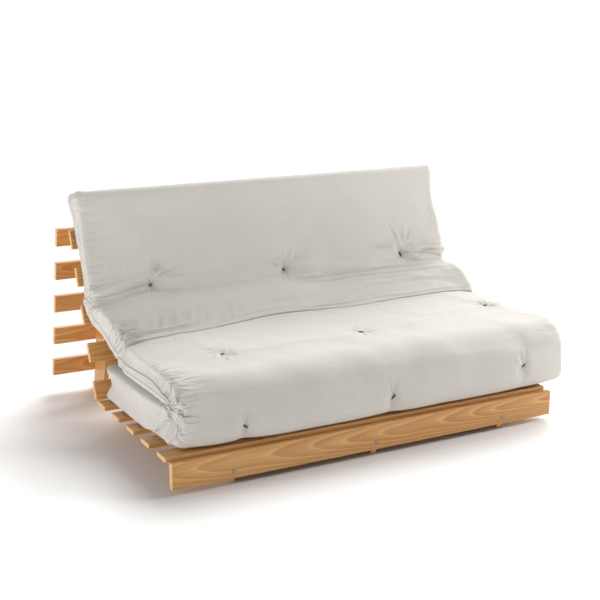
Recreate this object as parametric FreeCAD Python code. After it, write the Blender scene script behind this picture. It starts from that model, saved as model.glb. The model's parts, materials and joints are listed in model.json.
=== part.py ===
import FreeCAD, Part
import math
import os

from FreeCAD import Vector

# Three-section slatted pine sofa bed with a loose cotton futon, in millimetres.
# +X runs along the sofa, +Y from front to back, +Z up.
# The origin is on the floor, in the middle of the middle seat joist's underside.
# Each section is drawn lying flat, slats up, with its pivot at its own origin, and is then
# turned about X into the sofa position.

# --- driving sizes: the three sections
base_length = 1400.0        # of the slats and of the front board
joist_thickness = 20.0
joist_height = 100.0
joist_spacing = 500.0
back_lean = 21.0            # degrees from vertical, leaning back
prop_lean = 12.6            # degrees from vertical, foot behind the pivot
slat_width = 65.0
slat_thickness = 16.0
slat_pitch = 128.0
slats_per_section = 5
slat_shift = -11.0          # the slats stand this far to the left of the joists' middle
seat_slat_start = 2.0       # from the seat joists' front end to the first slat
seat_rear_margin = 60.0     # from the last seat slat to the lower pivot
back_slat_start = 43.0      # from the lower pivot to the lowest back slat
back_top_margin = 53.0      # from the highest back slat to the upper pivot
prop_slat_start = 62.0      # from the upper pivot to the highest prop slat
slat_edge_radius = 3.0
joist_edge_radius = 2.0

# --- driving sizes: the front board and its fasteners
board_height = 84.0
board_thickness = 20.0
board_rise = 3.0            # how far the board stands above the joists
board_edge_radius = 3.0
board_bolt_drop = 6.5       # from the joists' mid-height down to the bolts
board_bolt_radius = 3.0
board_bolt_length = 70.0
board_bolt_head_radius = 7.5
board_bolt_head_thickness = 2.2
socket_width = 4.0          # across the flats of the hexagon socket
socket_depth = 1.6
barrel_nut_radius = 5.0
barrel_nut_length = 16.0
barrel_nut_depth = 40.0     # behind the seat joist's front end

# --- driving sizes: the two pivots
pivot_bolt_radius = 4.0
pivot_clearance = 0.05      # radial, between a pivot bolt and all that it passes through
pivot_play = 0.2            # along the bolt, on each side of the piece that turns
spacer_thickness = 2.0
spacer_radius = 12.0
end_washer_thickness = 1.6
end_washer_radius = 10.0
hexagon_width = 13.0        # across the flats of a pivot bolt's head and nut
bolt_head_thickness = 5.3
nut_thickness = 6.5
thread_end = 3.0            # what shows of a pivot bolt past its nut

# --- driving sizes: the slat screws
screw_length = 38.0
screw_radius = 2.0
screw_head_radius = 4.0
screw_clearance = 0.05
screw_sink = 0.3            # from the slat's face down to the screw's head
screw_point = 5.0
recess_width = 0.9
recess_depth = 1.3

# --- driving sizes: the futon
futon_excess = 12.0         # how much wider the futon lies than the base is long
futon_shift = 28.0          # the futon lies this far to the right of the joists' middle
layer_thickness = 120.0
futon_overhang = 8.0        # from the front board's face to the futon's front
seat_crease_depth = 184.0   # from the fold in the seat back to the lower pivot
back_crease = 385.0         # from the lower pivot up the back to the fold in the back
back_top_rise = 62.0        # from the upper pivot up the back to the futon's top end
roll_bulge = 18.0           # how far the roll between the two folds stands out
soft_clearance = 0.3

# --- sizes and places that follow
slats_run = (slats_per_section - 1) * slat_pitch + slat_width
seat_run = seat_slat_start + slats_run + seat_rear_margin
back_run = back_slat_start + slats_run + back_top_margin
half_height = joist_height / 2
board_bottom = joist_height + board_rise - board_height
board_bolt_height = half_height - board_bolt_drop
futon_width = base_length + futon_excess
joist_front = -seat_run / 2
slat_top = half_height + slat_thickness         # above a section's own pivot
lower_pivot = Vector(0, joist_front + seat_run, half_height)
back_turn = 90 - back_lean
prop_turn = prop_lean - 90
upper_pivot = lower_pivot + Vector(
    0,
    back_run * math.cos(math.radians(back_turn)),
    back_run * math.sin(math.radians(back_turn)),
)
back_offset = joist_thickness + spacer_thickness + pivot_play
prop_offset = 2 * back_offset
JOISTS = {
    "left": (-joist_spacing, -1),
    "middle": (0.0, 1),
    "right": (joist_spacing, 1),
}
X_AXIS = Vector(1, 0, 0)
parts = {}


def block(x_range, y_range, z_range):
    """A block between three pairs of coordinates."""
    size = [high - low for low, high in (x_range, y_range, z_range)]
    corner = Vector(x_range[0], y_range[0], z_range[0])
    return Part.makeBox(*size, corner)


def rod_x(x_range, y, z, radius):
    """A round rod along X."""
    return Part.makeCylinder(radius, x_range[1] - x_range[0], Vector(x_range[0], y, z), X_AXIS)


def hexagon_x(x_range, y, z, width):
    """A hexagonal prism along X, given its width across the flats."""
    corner_radius = width / math.sqrt(3)
    points = [
        Vector(
            x_range[0],
            y + corner_radius * math.cos(math.radians(60 * i)),
            z + corner_radius * math.sin(math.radians(60 * i)),
        )
        for i in range(7)
    ]
    return Part.Face(Part.makePolygon(points)).extrude(X_AXIS * (x_range[1] - x_range[0]))


def outward(x_centre, side, near, far):
    """An X range from near to far, counted outward from a joist's middle plane."""
    ends = (x_centre + side * near, x_centre + side * far)
    return min(ends), max(ends)


def prism_x(edges, x_range):
    """A closed outline in the YZ plane at X = 0, as edges, made solid between two X values."""
    face = Part.Face(Part.Wire(Part.__sortEdges__(edges)))
    face.translate(X_AXIS * x_range[0])
    return face.extrude(X_AXIS * (x_range[1] - x_range[0]))


def line(a, b):
    """A straight edge between two (y, z) points."""
    return Part.LineSegment(Vector(0, *a), Vector(0, *b)).toShape()


def arc(a, through, b):
    """A circular edge through three (y, z) points."""
    return Part.Arc(Vector(0, *a), Vector(0, *through), Vector(0, *b)).toShape()


def eased(shape, radius):
    """The same shape with every edge rounded."""
    return shape.makeFillet(radius, shape.Edges)


def placed(shape, turn, pivot):
    """A flat section's piece, turned about its own pivot and moved to where the pivot is."""
    moved = shape.copy()
    moved.rotate(Vector(0, 0, 0), X_AXIS, turn)
    moved.translate(pivot)
    return moved


# --- joists, each lying flat with its pivot at y = 0, z = 0
def round_end(y_centre, towards):
    """A joist's fully rounded end about a pivot."""
    return arc(
        (y_centre, -half_height), (y_centre + towards * half_height, 0), (y_centre, half_height)
    )


def seat_joist(x_range):
    front = -seat_run
    edges = [
        line((front, -half_height), (0, -half_height)),
        round_end(0, 1),
        line((0, half_height), (front, half_height)),
        line((front, half_height), (front, -half_height)),
    ]
    return eased(prism_x(edges, x_range), joist_edge_radius)


def back_joist(x_range):
    edges = [
        line((0, -half_height), (back_run, -half_height)),
        round_end(back_run, 1),
        line((back_run, half_height), (0, half_height)),
        round_end(0, -1),
    ]
    return eased(prism_x(edges, x_range), joist_edge_radius)


def prop_length(z):
    """How far a prop joist's foot is from its pivot at height z in the joist, cut to the floor."""
    lean = math.radians(prop_lean)
    return (upper_pivot.z + z * math.sin(lean)) / math.cos(lean)


def prop_joist(x_range):
    under, over = prop_length(-half_height), prop_length(half_height)
    edges = [
        line((0, -half_height), (under, -half_height)),
        line((under, -half_height), (over, half_height)),
        line((over, half_height), (0, half_height)),
        round_end(0, -1),
    ]
    joist = prism_x(edges, x_range)
    foot = [e for e in joist.Edges if e.BoundBox.YMin > under - 1]
    others = [e for e in joist.Edges if not any(e.isSame(f) for f in foot)]
    return joist.makeFillet(joist_edge_radius, others)


def pivot_hole(joist, y):
    """The joist with a hole for its pivot bolt."""
    x_range = (joist.BoundBox.XMin - 1, joist.BoundBox.XMax + 1)
    return joist.cut(rod_x(x_range, y, 0, pivot_bolt_radius + pivot_clearance))


# --- slats and their screws
def slat(y_start):
    x_range = (slat_shift - base_length / 2, slat_shift + base_length / 2)
    return eased(
        block(x_range, (y_start, y_start + slat_width), (half_height, slat_top)), slat_edge_radius
    )


def screw(x, y, spare=0.0):
    """A countersunk wood screw through a slat; spare makes its hole that much larger all round."""
    head = slat_top - screw_sink
    cone_height = screw_head_radius - screw_radius
    cone = Part.makeCone(
        screw_radius + spare, screw_head_radius + spare, cone_height, Vector(x, y, head - cone_height)
    )
    tip = head - screw_length
    shank_length = screw_length - cone_height - screw_point
    shank = Part.makeCylinder(screw_radius + spare, shank_length, Vector(x, y, tip + screw_point))
    point = Part.makeCone(0.2, screw_radius + spare, screw_point, Vector(x, y, tip))
    body = cone.fuse([shank, point]).removeSplitter()
    if spare:
        mouth = Part.makeCylinder(screw_head_radius + spare, screw_sink + 1, Vector(x, y, head))
        return body.fuse(mouth)
    reach = screw_head_radius * 0.6
    for half_x, half_y in ((reach, recess_width / 2), (recess_width / 2, reach)):
        slot = block((x - half_x, x + half_x), (y - half_y, y + half_y), (head - recess_depth, head + 1))
        body = body.cut(slot)
    return body


def section(name, make_joist, offset, first_slat, pivot_places, turn, pivot):
    """One section's joists, slats and screws, added to parts in the sofa position."""
    half = joist_thickness / 2
    starts = [first_slat + i * slat_pitch for i in range(slats_per_section)]
    centres = {side: x + way * offset for side, (x, way) in JOISTS.items()}
    places = [(x, start + slat_width / 2) for x in centres.values() for start in starts]
    holes = {place: screw(*place, spare=screw_clearance) for place in places}
    for side, x in centres.items():
        joist = make_joist((x - half, x + half))
        for y in pivot_places:
            joist = pivot_hole(joist, y)
        joist = joist.cut([hole for place, hole in holes.items() if place[0] == x])
        parts[f"{name}_joist_{side}"] = placed(joist, turn, pivot)
    for number, start in enumerate(starts, 1):
        own = [hole for place, hole in holes.items() if place[1] == start + slat_width / 2]
        parts[f"{name}_slat_{number}"] = placed(slat(start).cut(own), turn, pivot)
    screws = Part.makeCompound([screw(*place) for place in places])
    parts[f"{name}_slat_screws"] = placed(screws, turn, pivot)


# --- front board, its bolts and their barrel nuts
def add_front_board():
    face = joist_front - board_thickness
    board = eased(
        block(
            (-base_length / 2, base_length / 2),
            (face, joist_front),
            (board_bottom, board_bottom + board_height),
        ),
        board_edge_radius,
    )
    along = Vector(0, 1, 0)
    bolts, nuts = [], []
    for side, (x, _) in JOISTS.items():
        start = Vector(x, face, board_bolt_height)
        hole = Part.makeCylinder(board_bolt_radius + pivot_clearance, board_bolt_length, start, along)
        board = board.cut(hole)
        nut_y = joist_front + barrel_nut_depth
        half = joist_thickness / 2
        seat = rod_x((x - half, x + half), nut_y, board_bolt_height, barrel_nut_radius + pivot_clearance)
        name = f"seat_joist_{side}"
        parts[name] = parts[name].cut([hole, seat])
        half = barrel_nut_length / 2
        nut = rod_x((x - half, x + half), nut_y, board_bolt_height, barrel_nut_radius)
        nuts.append(nut.cut(hole))
        bolts.append(board_bolt(start, along))
    parts["front_board"] = board
    parts["front_board_bolts"] = Part.makeCompound(bolts)
    parts["front_board_barrel_nuts"] = Part.makeCompound(nuts)


def board_bolt(start, along):
    """A furniture bolt with a flat round head and a hexagon socket."""
    head = Part.makeCylinder(
        board_bolt_head_radius, board_bolt_head_thickness, start - along * board_bolt_head_thickness, along
    )
    outer_rim = [e for e in head.Edges if e.BoundBox.YMax < start.y - board_bolt_head_thickness / 2]
    head = head.makeFillet(board_bolt_head_thickness * 0.4, [e for e in outer_rim if e.Closed])
    socket = hexagon_x((0, socket_depth), 0, 0, socket_width)
    socket.rotate(Vector(0, 0, 0), Vector(0, 0, 1), 90)
    socket.translate(start - along * board_bolt_head_thickness)
    shank = Part.makeCylinder(board_bolt_radius, board_bolt_length, start, along)
    return head.fuse(shank).cut(socket)


# --- pivots: bolt, head washer, fixed joist, spacer, turning joist, end washer, nut
def add_pivot(name, pivot, fixed_offset):
    fixed_near = fixed_offset - joist_thickness / 2
    fixed_far = fixed_near + joist_thickness
    head_near = fixed_near - end_washer_thickness - bolt_head_thickness
    washer_near = fixed_far + spacer_thickness + joist_thickness + 2 * pivot_play
    nut_near = washer_near + end_washer_thickness
    nut_far = nut_near + nut_thickness
    hole_radius = pivot_bolt_radius + pivot_clearance
    bolts, nuts, spacers, washers = [], [], [], []
    for x, way in JOISTS.values():
        def span(near, far):
            return outward(x, way, near, far)

        bore = rod_x(span(head_near - 1, nut_far + 1), pivot.y, pivot.z, hole_radius)
        head = hexagon_x(span(head_near, head_near + bolt_head_thickness), pivot.y, pivot.z, hexagon_width)
        shank_span = span(head_near + bolt_head_thickness, nut_far + thread_end)
        bolts.append(head.fuse(rod_x(shank_span, pivot.y, pivot.z, pivot_bolt_radius)))
        nuts.append(hexagon_x(span(nut_near, nut_far), pivot.y, pivot.z, hexagon_width).cut(bore))
        spacer_span = span(fixed_far, fixed_far + spacer_thickness)
        spacers.append(rod_x(spacer_span, pivot.y, pivot.z, spacer_radius).cut(bore))
        for near in (fixed_near - end_washer_thickness, washer_near):
            washer_span = span(near, near + end_washer_thickness)
            washers.append(rod_x(washer_span, pivot.y, pivot.z, end_washer_radius).cut(bore))
    parts[f"{name}_pivot_bolts"] = Part.makeCompound(bolts)
    parts[f"{name}_pivot_nuts"] = Part.makeCompound(nuts)
    parts[f"{name}_pivot_spacers"] = Part.makeCompound(spacers)
    parts[f"{name}_pivot_washers"] = Part.makeCompound(washers)


# --- the futon, folded double on the seat and up the back
def on_back(along, out):
    """The (y, z) of a point on the back section, from the lower pivot along it and out of it."""
    turn = math.radians(back_turn)
    return (
        lower_pivot.y + along * math.cos(turn) - out * math.sin(turn),
        lower_pivot.z + along * math.sin(turn) + out * math.cos(turn),
    )


def back_face_at(z):
    """The y of the back slats' front faces at height z, less the clearance for the futon."""
    turn = math.radians(back_turn)
    out = slat_top + soft_clearance
    along = (z - lower_pivot.z - out * math.cos(turn)) / math.sin(turn)
    return on_back(along, out)[0]


def add_futon():
    x_range = (futon_shift - futon_width / 2, futon_shift + futon_width / 2)
    bottom = lower_pivot.z + slat_top + soft_clearance
    middle = bottom + layer_thickness
    top = middle + layer_thickness
    front = joist_front - board_thickness - futon_overhang
    fold_back = front + layer_thickness
    crease = lower_pivot.y - seat_crease_depth
    near, far = slat_top + soft_clearance, slat_top + soft_clearance + layer_thickness
    fold = [
        arc((fold_back, bottom), (front, middle), (fold_back, top)),
        line((fold_back, top), (fold_back, bottom)),
    ]
    parts["futon_front_fold"] = prism_x(fold, x_range)
    lower = [
        (fold_back, bottom),
        (back_face_at(bottom), bottom),
        (back_face_at(middle), middle),
        (fold_back, middle),
    ]
    parts["futon_lower_layer"] = prism_x(ring(lower), x_range)
    parts["futon_upper_layer"] = block(x_range, (fold_back, crease), (middle, top))
    inner, outer = on_back(back_crease, near), on_back(back_crease, far)
    face_middle = ((crease + outer[0]) / 2, (top + outer[1]) / 2)
    length = math.dist((crease, top), outer)
    bulge = (
        face_middle[0] - roll_bulge * (outer[1] - top) / length,
        face_middle[1] + roll_bulge * (outer[0] - crease) / length,
    )
    roll = [
        line((crease, middle), (back_face_at(middle), middle)),
        line((back_face_at(middle), middle), inner),
        line(inner, outer),
        arc(outer, bulge, (crease, top)),
        line((crease, top), (crease, middle)),
    ]
    parts["futon_lumbar_roll"] = prism_x(roll, x_range)
    start, top_end = back_crease + soft_clearance, back_run + back_top_rise
    back = [on_back(start, near), on_back(top_end, near), on_back(top_end, far), on_back(start, far)]
    parts["futon_back_layer"] = prism_x(ring(back), x_range)


def ring(points):
    """Straight edges that join (y, z) points in a closed ring."""
    return [line(points[i - 1], points[i]) for i in range(len(points))]


section("seat", seat_joist, 0.0, seat_slat_start - seat_run, [0.0], 0.0, lower_pivot)
section("back", back_joist, back_offset, back_slat_start, [0.0, back_run], back_turn, lower_pivot)
section("prop", prop_joist, prop_offset, prop_slat_start, [0.0], prop_turn, upper_pivot)
add_front_board()
add_pivot("lower", lower_pivot, 0.0)
add_pivot("upper", upper_pivot, back_offset)
add_futon()

os.makedirs("parts", exist_ok=True)
for node, shape in parts.items():
    shape.exportStep(f"parts/{node}.step")
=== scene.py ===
import json
import math
import bpy
import numpy as np
from mathutils import Matrix, Vector
from mathutils.bvhtree import BVHTree


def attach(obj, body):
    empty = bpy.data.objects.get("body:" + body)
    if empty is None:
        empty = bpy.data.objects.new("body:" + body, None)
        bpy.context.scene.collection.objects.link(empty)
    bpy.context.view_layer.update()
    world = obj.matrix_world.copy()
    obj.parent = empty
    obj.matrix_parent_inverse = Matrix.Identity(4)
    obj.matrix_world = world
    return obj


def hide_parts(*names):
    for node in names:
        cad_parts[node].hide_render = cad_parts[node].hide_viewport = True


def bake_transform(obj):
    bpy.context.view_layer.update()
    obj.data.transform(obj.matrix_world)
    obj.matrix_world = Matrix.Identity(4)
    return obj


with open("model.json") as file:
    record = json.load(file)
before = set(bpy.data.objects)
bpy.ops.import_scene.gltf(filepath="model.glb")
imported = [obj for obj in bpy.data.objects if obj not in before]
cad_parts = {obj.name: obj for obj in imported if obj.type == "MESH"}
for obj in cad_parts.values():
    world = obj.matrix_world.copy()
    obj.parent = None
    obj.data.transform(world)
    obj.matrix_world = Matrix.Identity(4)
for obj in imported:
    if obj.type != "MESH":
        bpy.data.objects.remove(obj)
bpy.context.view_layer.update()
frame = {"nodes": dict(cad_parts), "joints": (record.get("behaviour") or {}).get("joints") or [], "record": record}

JOINTS = {j["name"]: j for j in frame["joints"]}
HINGE = Vector(JOINTS["back_hinge"]["pos_m"])
BACK_TURN = math.radians(JOINTS["back_hinge"]["range_deg"][1])
PROP_TURN = BACK_TURN - math.radians(JOINTS["prop_hinge"]["range_deg"][1])


# ---------------------------------------------------------------- node trees

def new_material(name):
    material = bpy.data.materials.new(name)
    material.use_nodes = True
    tree = material.node_tree
    tree.nodes.clear()
    output = tree.nodes.new("ShaderNodeOutputMaterial")
    shader = tree.nodes.new("ShaderNodeBsdfPrincipled")
    tree.links.new(shader.outputs["BSDF"], output.inputs["Surface"])
    return material, tree, shader


def feed(tree, socket, value):
    """Links a socket to another node's output, or sets it to a number."""
    if isinstance(value, bpy.types.NodeSocket):
        tree.links.new(value, socket)
    else:
        socket.default_value = value


def maths(tree, operation, *values):
    node = tree.nodes.new("ShaderNodeMath")
    node.operation = operation
    for socket, value in zip(node.inputs, values):
        feed(tree, socket, value)
    return node.outputs[0]


def times(tree, first, second):
    return maths(tree, "MULTIPLY", first, second)


def plus(tree, first, second):
    return maths(tree, "ADD", first, second)


def minus(tree, first, second):
    return maths(tree, "SUBTRACT", first, second)


def stretch(tree, vector, scale, location=(0, 0, 0), rotation=(0, 0, 0)):
    node = tree.nodes.new("ShaderNodeMapping")
    feed(tree, node.inputs["Vector"], vector)
    node.inputs["Location"].default_value = location
    node.inputs["Rotation"].default_value = rotation
    node.inputs["Scale"].default_value = scale
    return node.outputs[0]


def noise(tree, vector, scale, detail=2.0, roughness=0.5):
    node = tree.nodes.new("ShaderNodeTexNoise")
    feed(tree, node.inputs["Vector"], vector)
    node.inputs["Scale"].default_value = scale
    node.inputs["Detail"].default_value = detail
    node.inputs["Roughness"].default_value = roughness
    return node.outputs["Fac"]


def spread(tree, value, from_low, from_high, to_low, to_high):
    node = tree.nodes.new("ShaderNodeMapRange")
    node.interpolation_type = "SMOOTHSTEP"
    for socket, v in zip(node.inputs, (value, from_low, from_high, to_low, to_high)):
        feed(tree, socket, v)
    return node.outputs[0]


def mix(tree, factor, first, second, blend="MIX"):
    node = tree.nodes.new("ShaderNodeMix")
    node.data_type = "RGBA"
    node.blend_type = blend
    feed(tree, node.inputs["Factor"], factor)
    for socket, value in ((node.inputs[6], first), (node.inputs[7], second)):
        feed(tree, socket, (*value, 1.0) if isinstance(value, tuple) else value)
    return node.outputs[2]


def bump(tree, height, strength, distance, normal=None):
    node = tree.nodes.new("ShaderNodeBump")
    node.inputs["Strength"].default_value = strength
    node.inputs["Distance"].default_value = distance
    feed(tree, node.inputs["Height"], height)
    if normal:
        feed(tree, node.inputs["Normal"], normal)
    return node.outputs["Normal"]


# ---------------------------------------------------------------- wood

EARLY = (0.69, 0.340, 0.100)
LATE = (0.46, 0.180, 0.040)
# The ends' colour is paler than end grain alone: end-grain colour and painted light on the ends.
END_GRAIN_AND_LIGHT = (0.86, 0.53, 0.26)
PALE_LINE = (0.90, 0.60, 0.27)         # where a ring starts
PALE_PATCH = (0.82, 0.48, 0.17)
FIBRE = (0.33, 0.13, 0.04)
KNOT = (0.20, 0.075, 0.025)
# Paler arrises: wear, and a painted highlight along the edges.
WORN_AND_HIGHLIGHT = (0.88, 0.57, 0.25)
KNOT_CHANCE = 0.3
FIRST_SEED = 100


def pine(name, section_turn, along_y, seed):
    """Lacquered pine for one board, with the grain along it.

    The growth rings are shells round a log axis that lies beside the board.
    """
    turn = Matrix.Rotation(-section_turn, 3, "X")
    if along_y:
        turn = Matrix.Rotation(-math.pi / 2, 3, "Z") @ turn
    node = frame["nodes"][name]
    points = np.array([turn @ v.co for v in node.data.vertices])
    low, high = points.min(0), points.max(0)
    centre, half = (low + high) / 2, (high - low) / 2
    draw = np.random.default_rng(seed)

    material, tree, shader = new_material(name + "_pine")
    coordinates = tree.nodes.new("ShaderNodeTexCoord").outputs["Object"]
    local = stretch(tree, coordinates, (1, 1, 1), tuple(-centre), turn.to_euler("XYZ"))
    split = tree.nodes.new("ShaderNodeSeparateXYZ")
    tree.links.new(local, split.inputs[0])
    x, y, z = split.outputs

    # The log axis drifts across and away along the board, which draws the rings out into arches.
    wide_is_y = half[1] > half[2]
    wide, thin = (y, z) if wide_is_y else (z, y)
    side = draw.choice((-1, 1))
    pith_wide = draw.uniform(-0.02, 0.02)
    pith_thin = side * draw.uniform(0.030, 0.060)
    drift = draw.uniform(-0.03, 0.03)
    offset = tuple(draw.uniform(-20, 20, 3))
    wander = noise(tree, stretch(tree, local, (1.6, 5.0, 5.0), offset), 1.0, 2.0)
    wander = times(tree, minus(tree, wander, 0.5), 0.030)
    across = plus(tree, minus(tree, wide, pith_wide),
                  times(tree, x, drift))
    depth = minus(tree, thin, pith_thin)
    taper = side * draw.uniform(0.020, 0.045)
    depth = plus(tree, depth, times(tree, x, taper))
    radius = maths(tree, "SQRT", plus(tree, times(tree, across, across),
                                      times(tree, depth, depth)))
    radius = plus(tree, radius, wander)

    # Some boards have one knot, which the rings flow round.
    knot_x = draw.uniform(-0.8, 0.8) * half[0]
    knot_wide = draw.uniform(-0.6, 0.6) * max(half[1], half[2])
    along = maths(tree, "DIVIDE", minus(tree, x, knot_x), 0.026)
    over = maths(tree, "DIVIDE", minus(tree, wide, knot_wide), 0.011)
    near = plus(tree, times(tree, along, along),
                times(tree, over, over))
    knot = maths(tree, "POWER", 2.718, times(tree, near, -1.0))
    knot = times(tree, knot, 1.0 if draw.random() < KNOT_CHANCE else 0.0)
    radius = plus(tree, radius, times(tree, knot, 0.013))

    rings = maths(tree, "FRACT", maths(tree, "DIVIDE", radius, draw.uniform(0.0046, 0.0066)))
    late = spread(tree, rings, 0.25, 0.93, 0.0, 1.0)
    fall = spread(tree, rings, 0.93, 1.0, 1.0, 0.0)
    late = times(tree, late, fall)
    fibres = noise(tree, stretch(tree, local, (7.0, 420.0, 420.0), offset), 1.0, 3.0, 0.6)
    streaks = noise(tree, stretch(tree, local, (2.2, 85.0, 85.0), offset), 1.0, 2.0, 0.6)
    patches = noise(tree, stretch(tree, local, (3.0, 14.0, 14.0), offset), 1.0, 1.0)

    tone = draw.uniform(0.90, 1.08)
    warm = draw.uniform(-0.05, 0.05)
    early = tuple(c * tone * (1 + warm * k) for c, k in zip(EARLY, (0.3, -0.2, -1)))
    dark = tuple(c * tone for c in LATE)
    colour = mix(tree, times(tree, late, 0.52), early, dark)
    pale_line = times(tree, spread(tree, rings, 0.0, 0.05, 0.0, 1.0),
                      spread(tree, rings, 0.08, 0.28, 1.0, 0.0))
    colour = mix(tree, times(tree, pale_line, 0.42), colour, PALE_LINE)
    streak_colour = tuple(c * 0.62 for c in EARLY)
    colour = mix(tree, spread(tree, streaks, 0.35, 0.75, 0.0, 0.30), colour, streak_colour)
    colour = mix(tree, spread(tree, patches, 0.45, 0.75, 0.0, 0.28), colour, PALE_PATCH)
    colour = mix(tree, spread(tree, fibres, 0.45, 0.75, 0.0, 0.22), colour, FIBRE)
    colour = mix(tree, spread(tree, knot, 0.55, 0.95, 0.0, 0.75), colour, KNOT)

    # The distances to the faces give the ends and the arrises. The arrises are painted paler, partly as wear and
    # partly as a painted highlight along the edges.
    gaps = [minus(tree, float(h), maths(tree, "ABSOLUTE", v))
            for h, v in zip(half, (x, y, z))]
    at_end = spread(tree, gaps[0], 0.0006, 0.0018, 1.0, 0.0)
    lowest = maths(tree, "MINIMUM", gaps[0], gaps[1])
    highest = maths(tree, "MAXIMUM", gaps[0], gaps[1])
    second = maths(tree, "MAXIMUM", lowest, maths(tree, "MINIMUM", highest, gaps[2]))
    worn_and_highlight = times(tree, spread(tree, second, 0.0008, 0.0045, 1.0, 0.0),
                 spread(tree, noise(tree, local, 38.0, 3.0, 0.7), 0.35, 0.7, 0.25, 1.0))
    # The ends are painted paler: end-grain colour, and painted light standing in for the light the ends catch.
    colour = mix(tree, times(tree, at_end, 0.75), colour, END_GRAIN_AND_LIGHT)
    # Wear and painted highlight along the arrises.
    colour = mix(tree, times(tree, worn_and_highlight, 0.40), colour, WORN_AND_HIGHLIGHT)
    tree.links.new(colour, shader.inputs["Base Color"])

    rough = spread(tree, fibres, 0.3, 0.8, 0.34, 0.50)
    rough = plus(tree, rough, times(tree, worn_and_highlight, 0.14))
    rough = plus(tree, rough, times(tree, at_end, 0.22))
    tree.links.new(rough, shader.inputs["Roughness"])
    shader.inputs["Coat Weight"].default_value = 0.18
    shader.inputs["Coat Roughness"].default_value = 0.28
    height = plus(tree, times(tree, late, 0.5), fibres)
    tree.links.new(bump(tree, height, 0.35, 0.0005), shader.inputs["Normal"])
    return material


def metal(name, colour, roughness):
    """Dull plated steel with fine blotches and scratches."""
    material, tree, shader = new_material(name)
    local = tree.nodes.new("ShaderNodeTexCoord").outputs["Object"]
    blotch = noise(tree, local, 260.0, 3.0, 0.6)
    scratch = noise(tree, stretch(tree, local, (1, 1, 14)), 320.0, 2.0)
    shade = mix(tree, spread(tree, blotch, 0.3, 0.7, 0.0, 1.0), colour, tuple(c * 0.72 for c in colour))
    tree.links.new(shade, shader.inputs["Base Color"])
    shader.inputs["Metallic"].default_value = 1.0
    rough = spread(tree, scratch, 0.3, 0.7, roughness, roughness + 0.18)
    tree.links.new(rough, shader.inputs["Roughness"])
    tree.links.new(bump(tree, blotch, 0.2, 0.0002), shader.inputs["Normal"])
    return material


def dress(node, material):
    node.data.materials.clear()
    node.data.materials.append(material)


def finish_frame():
    """Gives each CAD piece of the base its finish."""
    zinc = metal("zinc_plate", (0.40, 0.41, 0.42), 0.34)
    yellow = metal("yellow_plate", (0.72, 0.60, 0.36), 0.32)
    turns = {"seat": 0.0, "back": BACK_TURN, "prop": PROP_TURN}
    body_of = {n: b for b, names in frame["record"]["behaviour"]["bodies"].items() for n in names}
    for seed, (name, node) in enumerate(sorted(frame["nodes"].items())):
        if name.startswith("futon"):
            continue
        if name.endswith("screws"):
            dress(node, yellow)
        elif "bolts" in name or "pivot" in name or "nuts" in name:
            dress(node, zinc)
        else:
            dress(node, pine(name, turns[body_of[name]], "joist" in name, FIRST_SEED + seed))


finish_frame()


# ---------------------------------------------------------------- stage

def add_object(name, data):
    item = bpy.data.objects.new(name, data)
    bpy.context.scene.collection.objects.link(item)
    return item


def add_camera():
    yaw, pitch, roll = math.radians(28.643), math.radians(14.164), math.radians(0.07)
    forward = Vector((math.sin(yaw) * math.cos(pitch), math.cos(yaw) * math.cos(pitch),
                      -math.sin(pitch)))
    data = bpy.data.cameras.new("camera")
    data.lens = 71.87
    data.sensor_width = 36.0
    data.clip_end = 10000.0
    camera = add_object("camera", data)
    turn = forward.to_track_quat("-Z", "Y").to_matrix() @ Matrix.Rotation(roll, 3, "Z")
    camera.matrix_world = Matrix.Translation((-1.9238, -3.3512, 1.4071)) @ turn.to_4x4()
    bpy.context.scene.camera = camera


def add_area(name, place, aim, size, power):
    data = bpy.data.lights.new(name, "AREA")
    data.shape = "DISK"
    data.size = size
    data.energy = power
    light = add_object(name, data)
    light.location = place
    light.rotation_mode = "QUATERNION"
    light.rotation_quaternion = (Vector(aim) - Vector(place)).to_track_quat("-Z", "Y")


def add_sun(name, toward, degrees, power, colour=(1, 1, 1)):
    """A distant soft light, that shines from the direction given."""
    data = bpy.data.lights.new(name, "SUN")
    data.energy = power
    data.angle = math.radians(degrees)
    data.color = colour
    light = add_object(name, data)
    light.rotation_mode = "QUATERNION"
    light.rotation_quaternion = Vector(toward).to_track_quat("Z", "Y")


def add_stage():
    world = bpy.data.worlds.new("studio")
    world.use_nodes = True
    background = world.node_tree.nodes["Background"]
    tree = world.node_tree
    background.inputs["Color"].default_value = (1.0, 0.995, 0.985, 1.0)
    split = tree.nodes.new("ShaderNodeSeparateXYZ")
    tree.links.new(tree.nodes.new("ShaderNodeTexCoord").outputs["Generated"], split.inputs[0])
    # A white backdrop stands round the horizon, and the rest of the room is dim.
    glow = spread(tree, split.outputs[2], 0.07, 0.15, 1.0, 0.22)
    tree.links.new(glow, background.inputs["Strength"])
    bpy.context.scene.world = world
    bpy.context.scene.view_settings.view_transform = "Standard"

    mesh = bpy.data.meshes.new("floor")
    reach = 4000.0
    corners = [(-reach, -reach, 0), (reach, -reach, 0), (reach, reach, 0), (-reach, reach, 0)]
    mesh.from_pydata(corners, [], [(0, 1, 2, 3)])
    floor = add_object("floor", mesh)
    floor.location.z = -0.0005
    material, tree, shader = new_material("pale_floor")
    shader.inputs["Base Color"].default_value = (0.96, 0.955, 0.95, 1.0)
    shader.inputs["Roughness"].default_value = 0.75
    shader.inputs["Specular IOR Level"].default_value = 0.2
    mesh.materials.append(material)

    add_sun("key", (0.50, 0.40, 0.77), 36, 2.40, (1.0, 1.0, 0.99))
    add_sun("low", (0.42, 0.68, 0.48), 50, 1.15)
    add_area("right_fill", (2.3, -1.1, 2.1), (0.5, 0.3, 0.5), 1.2, 40.0)
    add_area("left_fill", (-2.3, -0.20, 0.40), (-0.7, 0.1, 0.2), 1.0, 14.0)


add_camera()
add_stage()


# ---------------------------------------------------------------- cloth

THREAD_PITCH = 0.0011
SLUB = (0.63, 0.595, 0.535)


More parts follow.
